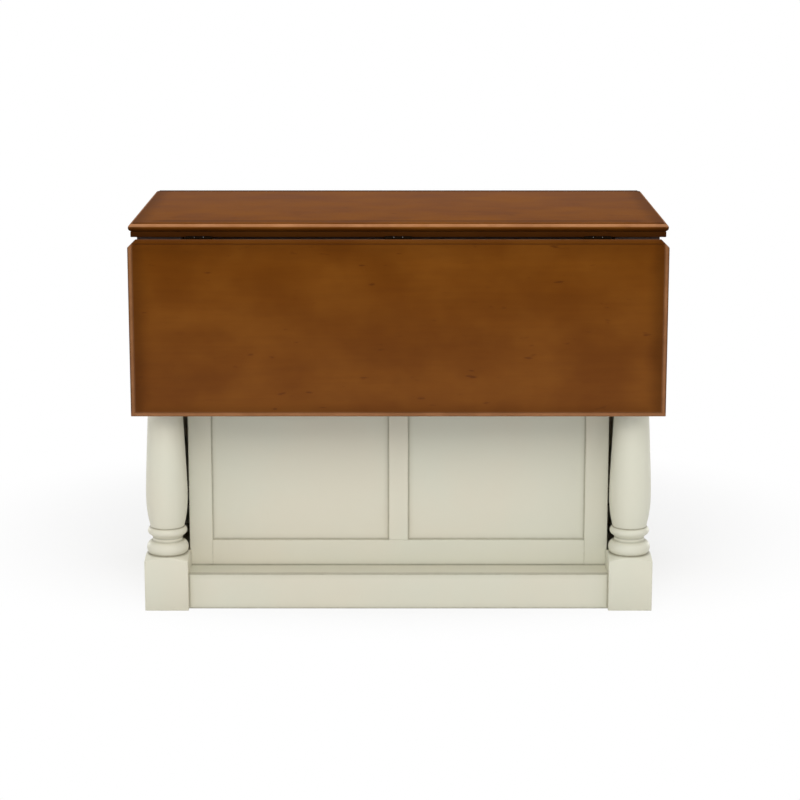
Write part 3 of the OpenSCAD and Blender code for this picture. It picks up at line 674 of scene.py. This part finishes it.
case = {
    "blockIn": 0.4904,  # inner faces of the posts' blocks
    "sideFace": 0.562,  # outer faces of the end frames
    "sideFront": -0.1799,
    "sideBack": 0.2119,
    "backFace": -0.1799,  # the panelled back, behind the leaf
    "faceFront": 0.2955,  # the doors and the drawer fronts
    "frameThick": 0.020,
    "boardEase": 0.0012,
    "stile": 0.054,  # this and the two rails are the end frames'
    "lowRail": 0.061,
    "highRail": 0.090,
    "baseTop": 0.0825,
    "doorStile": 0.058,  # also the width of the doors' rails
    "doorLow": (0.0245, 0.112),  # two corners of the door at +X, across and up
    "doorHigh": (0.4434, 0.688),
    "backPanel": ((0.0225, 0.1435), (0.440, 0.8054)),  # and of the back panel at +X
    "drawerEnds": (-0.1125, 0.2635),  # inner faces of the drawers' back and front boards
    "joint": 0.00015,  # half of the fine line left where two boards meet
    "overBase": 0.0028,  # how far above its edge the base boards' glazing and painted shade end
    "ledgeGlaze": ((0.007, 0.001), 0.6),
    "creases": (((0.0055, 0.001), 0.5), ((0.016, 0.0), 0.16)),  # how near the border, how strong: a line of glazing and painted shade, then a soft, wide painted shade
}


def creaseGlazeAndShade(*spans):
    # glazing and painted shade along the border of a flat field, such as a panel in its frame;
    # each span is an axis, whether it is the same on both sides, and the two ends of the field
    def glaze(recipe):
        axes = dict(zip("XYZ", recipe.axes()))
        nearest = None
        for axis, mirrored, low, high in spans:
            value = abs(axes[axis]) if mirrored else axes[axis]
            inside = (value - low).lower(high - value)
            nearest = inside if nearest is None else nearest.lower(inside)
        (close, strong), (wide, faint) = case["creases"]
        return nearest.ease(*close) * strong + nearest.ease(*wide) * faint
    return glaze


def ledgeGlaze(recipe):
    # glazing and painted shade in the corner where the ledge over the base board meets the back
    near, strong = case["ledgeGlaze"]
    return abs(recipe.axes()[1] - case["backFace"]).ease(*near) * strong


def framedField(low, high, stile):
    # what is left inside a frame with the same width all round
    return (("X", True, low[0] + stile, high[0] - stile),
            ("Z", False, low[1] + stile, high[1] - stile))


backField = framedField(*case["backPanel"], 0.0)
doorField = framedField(case["doorLow"], case["doorHigh"], case["doorStile"])
endField = (("Y", False, case["sideFront"] + case["stile"], case["sideBack"] - case["stile"]),
            ("Z", False, case["baseTop"] + case["lowRail"], postShape["top"] - case["highRail"]))
# the base boards darken along the floor, along their top edge and beside the posts' blocks:
# glazing and painted shade
baseHeight = ("Z", False, 0.0, case["baseTop"] + case["overBase"])
longBaseField = (baseHeight, ("X", True, -1.0, case["blockIn"]))
endBaseField = (baseHeight, ("Y", False, case["sideFront"], case["sideBack"]))
aboveBase = ("Z", False, case["baseTop"], 2.0)

# painted boards darken just above the ledge: glazing and painted shade
boardPaint = rubbedPaint("boardPaint", creaseGlazeAndShade(aboveBase), slitShaded=True)
longBasePaint = rubbedPaint("longBasePaint", creaseGlazeAndShade(*longBaseField), 1.4, 8.0)
endBasePaint = rubbedPaint("endBasePaint", creaseGlazeAndShade(*endBaseField), 1.4, 5.0)
deckPaint = rubbedPaint("deckPaint", ledgeGlaze, 1.0, 6.0)
plankWood = plainWood("plankWood")
depthWood = plainWood("depthWood", "Y")
uprightWood = plainWood("uprightWood", "Z")
drawerWood = plainWood("drawerWood", "Y", case["drawerEnds"])
agedBrass = agedMetal("agedBrass")
stainedBrass = agedMetal("stainedBrass")
zincSteel = agedMetal("zincSteel")

for name in ("back_stiles", "back_rails", "back_mullion", "leaf_apron", "face_stiles",
             "face_centre_stile", "face_rails"):
    easeNode(name, boardPaint)
# panels darken towards their frames: glazing and painted shade in the recess
for names, field in ((("back_panels",), backField),
                     (("side_panel_left", "side_panel_right"), endField),
                     (("door_left_panel", "door_right_panel"), doorField)):
    panelPaint = rubbedPaint(names[0] + "Paint", creaseGlazeAndShade(*field), 0.3, 4.0)
    for name in names:
        easeNode(name, panelPaint, 0.0005)
easeNode("base_boards_long", longBasePaint, 0.0014)
easeNode("base_boards_ends", endBasePaint, 0.0014)
easeNode("deck", deckPaint, 0.0008)


def addBoard(shape, low, high):
    # one board between two corners, its arrises eased
    low, high = Vector(low), Vector(high)
    verts = bmesh.ops.create_cube(shape, size=1.0)["verts"]
    bmesh.ops.scale(shape, vec=high - low, verts=verts)
    bmesh.ops.translate(shape, vec=(low + high) / 2, verts=verts)
    easeEdges(shape, list({edge for vert in verts for edge in vert.link_edges}),
              case["boardEase"])


def frameBoards(low, high, stile, lowRail, highRail, place):
    # two stiles with two rails between them; low and high are across and up, and place puts
    # them in the room
    shape = bmesh.new()
    gap = case["joint"]
    inLeft, inRight = low[0] + stile + gap, high[0] - stile - gap
    parts = [((low[0], low[1]), (low[0] + stile, high[1])),
             ((high[0] - stile, low[1]), high),
             ((inLeft, low[1]), (inRight, low[1] + lowRail)),
             ((inLeft, high[1] - highRail), (inRight, high[1]))]
    for (x0, z0), (x1, z1) in parts:
        piece = bmesh.new()
        addBoard(piece, (x0, 0, z0), (x1, case["frameThick"], z1))
        bmesh.ops.transform(piece, matrix=place, verts=piece.verts)
        mesh = bpy.data.meshes.new("part")
        piece.to_mesh(mesh)
        piece.free()
        shape.from_mesh(mesh)
        bpy.data.meshes.remove(mesh)
    return shape


for side, word in ((-1, "left"), (1, "right")):
    # the frames on the ends, seen from outside
    turn = Matrix(((0, -side, 0, side * case["sideFace"]),
                   (side, 0, 0, 0),
                   (0, 0, 1, 0),
                   (0, 0, 0, 1)))
    span = sorted((side * case["sideFront"], side * case["sideBack"]))
    shape = frameBoards((span[0], case["baseTop"]), (span[1], postShape["top"]), case["stile"],
                        case["lowRail"], case["highRail"], turn)
    addPiece("endFrame_" + word, shape, boardPaint, "island", ["side_frame_" + word])
    # the doors' frames, seen from the door side
    turn = Matrix(((-1, 0, 0, 0), (0, -1, 0, case["faceFront"]), (0, 0, 1, 0), (0, 0, 0, 1)))
    span = sorted((-side * case["doorLow"][0], -side * case["doorHigh"][0]))
    shape = frameBoards((span[0], case["doorLow"][1]), (span[1], case["doorHigh"][1]),
                        case["doorStile"], case["doorStile"], case["doorStile"], turn)
    addPiece("doorFrame_" + word, shape, boardPaint, "door_" + word, ["door_" + word + "_frame"])
    easeNode("drawer_" + word + "_front", boardPaint, 0.002, 3)
    easeNode("drawer_" + word + "_box", drawerWood, 0.001)
    easeNode("drawer_" + word + "_bottom", plankWood, 0.0005)
print("painted boards done")

for name in ("carcass_side_left", "carcass_side_right", "centre_divider"):
    easeNode(name, uprightWood, 0.0008)
for name in ("shelves", "top_cleats"):
    easeNode(name, plankWood, 0.0012)
easeNode("drawer_runners", depthWood, 0.0008)
easeNode("door_catches", catchPlastic(), 0.0008)
for name in ("stay_brackets", "stay_pivot_pins", "stay_arm_left", "stay_arm_right",
             "stay_channels", "hinge_pins"):
    easeNode(name, zincSteel, 0.0003)
for name in ("door_hinge_plates", "door_left_hinges", "door_right_hinges", "shelf_pins",
             "frame_screws", "leaf_screws", "door_left_screws", "door_right_screws"):
    easeNode(name, agedBrass, 0.0002)
for name in ("leaf_hinge_plates", "leaf_hinge_flaps"):
    easeNode(name, stainedBrass, 0.0002)
print("inner pieces and fittings done")


knob = {
    "radius": 0.015,
    "reach": 0.026,
    # radius and distance from the board, from its middle to the underside of the head
    "neck": [(0.0, 0.0), (0.009, 0.0), (0.0092, 0.0008), (0.0088, 0.0016), (0.0075, 0.0024),
             (0.0062, 0.0034), (0.0055, 0.005), (0.005, 0.008), (0.0055, 0.0102),
             (0.0068, 0.0116)],
    "headBack": 0.009,  # from the front of the knob to the middle of its head
    "headThick": 0.007,
    "places": {"drawer_left": (-0.234, 0.786), "drawer_right": (0.234, 0.786),
               "door_left": (-0.0535, 0.598), "door_right": (0.0535, 0.598)},
    "segments": 48,
    "sharpFrom": 50,
}


def turnedKnob(x, z):
    line = knob["neck"] + arcPoints(0.0, knob["reach"] - knob["headBack"], knob["radius"],
                                    knob["headThick"], -48, 90, 22)
    shape = spun([(r, h, 0) for r, h in line], (0, 1, 0), knob["segments"])
    bmesh.ops.translate(shape, vec=(x, case["faceFront"], z), verts=shape.verts)
    return shape


for body, (x, z) in knob["places"].items():
    addPiece("knob_" + body, turnedKnob(x, z), agedBrass, body, [body + "_knob"],
             knob["sharpFrom"])
print("knobs done")


studio = {
    "world": 0.5,
    # each lamp: where it hangs, how wide it is, its power in watts
    "lamps": {"keyLamp": ((0.0, -4.1, 3.75), 3.0, 97.0),
              "fillLamp": ((0.0, -5.2, 0.8), 2.4, 21.0),
              "leftLamp": ((-4.2, -2.4, 2.4), 2.2, 20.0),
              "rightLamp": ((4.2, -2.4, 2.4), 2.2, 20.0),
              "topLamp": ((0.0, 0.1, 3.4), 2.2, 44.0),
              "backLeftLamp": ((-3.6, 3.4, 0.7), 0.9, 30.0),
              "backRightLamp": ((3.6, 3.4, 0.7), 0.9, 30.0)},
    "aim": (0.0, 0.0, 0.45),
    "floorColour": (0.8, 0.8, 0.8),
    "floorShare": 0.66,  # how much of the floor near the island is plain white to the camera
    "floorFade": (0.5, 1.05),  # where it starts to become white, and where it is wholly white
    "floorSize": 20.0,
    "floorDrop": 0.0004,
    "lens": 107.58,
    "eye": (0.003685, -5.6533, 1.6307),
    "eyeTilt": 11.848,  # degrees below level
}


def softLamp(name, place, size, power):
    lamp = bpy.data.lights.new(name, "AREA")
    lamp.shape = "SQUARE"
    lamp.size = size
    lamp.energy = power
    thing = addObject(name, lamp)
    aim = Vector(studio["aim"]) - Vector(place)
    thing.location = place
    thing.rotation_euler = aim.to_track_quat("-Z", "Y").to_euler()


def seenPlainly(recipe):
    # 1 for what the camera sees, also in metal and through glass
    path = recipe.node("ShaderNodeLightPath")
    plain = path["Is Camera Ray"].higher(path["Is Glossy Ray"])
    return plain.higher(path["Is Transmission Ray"])


for name, (place, size, power) in studio["lamps"].items():
    softLamp(name, place, size, power)

world = bpy.data.worlds.new("studioWorld")
bpy.context.scene.world = world
skyLook = Recipe("skyLook", world)
strength = studio["world"] + (1 - studio["world"]) * seenPlainly(skyLook)
sky = skyLook.node("ShaderNodeBackground", None, {"Color": (1.0, 1.0, 1.0), "Strength": strength})
skyLook.node("ShaderNodeOutputWorld", None, {"Surface": sky["Background"]})

floorLook = Recipe("floorLook")
seen = seenPlainly(floorLook)
floorX, floorY = floorLook.axes()[:2]
away = (floorX * floorX * 0.64 + (floorY - 0.5) * (floorY - 0.5)) ** 0.5
share = studio["floorShare"] + (1 - studio["floorShare"]) * away.ease(*studio["floorFade"])
diffuse = floorLook.node("ShaderNodeBsdfDiffuse", None, {"Color": studio["floorColour"]})
glow = floorLook.node("ShaderNodeEmission", None, {"Color": (1.0, 1.0, 1.0), "Strength": 1.0})
both = floorLook.node("ShaderNodeMixShader", None,
                      {"Fac": seen * share, "Shader": diffuse["BSDF"],
                       "Shader_001": glow["Emission"]})
floorLook.node("ShaderNodeOutputMaterial", None, {"Surface": both["Shader"]})
ground = bmesh.new()
bmesh.ops.create_grid(ground, x_segments=1, y_segments=1, size=studio["floorSize"])
bmesh.ops.translate(ground, vec=(0, 0, -studio["floorDrop"]), verts=ground.verts)
groundMesh = bpy.data.meshes.new("studioFloor")
ground.to_mesh(groundMesh)
ground.free()
groundMesh.materials.append(floorLook.material)
floorPiece = addObject("studioFloor", groundMesh)

eye = bpy.data.cameras.new("photoCamera")
eye.lens = studio["lens"]
eye.sensor_width = 36.0
eyePiece = addObject("photoCamera", eye)
eyePiece.location = studio["eye"]
eyePiece.rotation_euler = (math.radians(90 - studio["eyeTilt"]), 0, 0)
bpy.context.scene.camera = eyePiece
bpy.context.scene.view_settings.view_transform = "Standard"
print("studio ready")
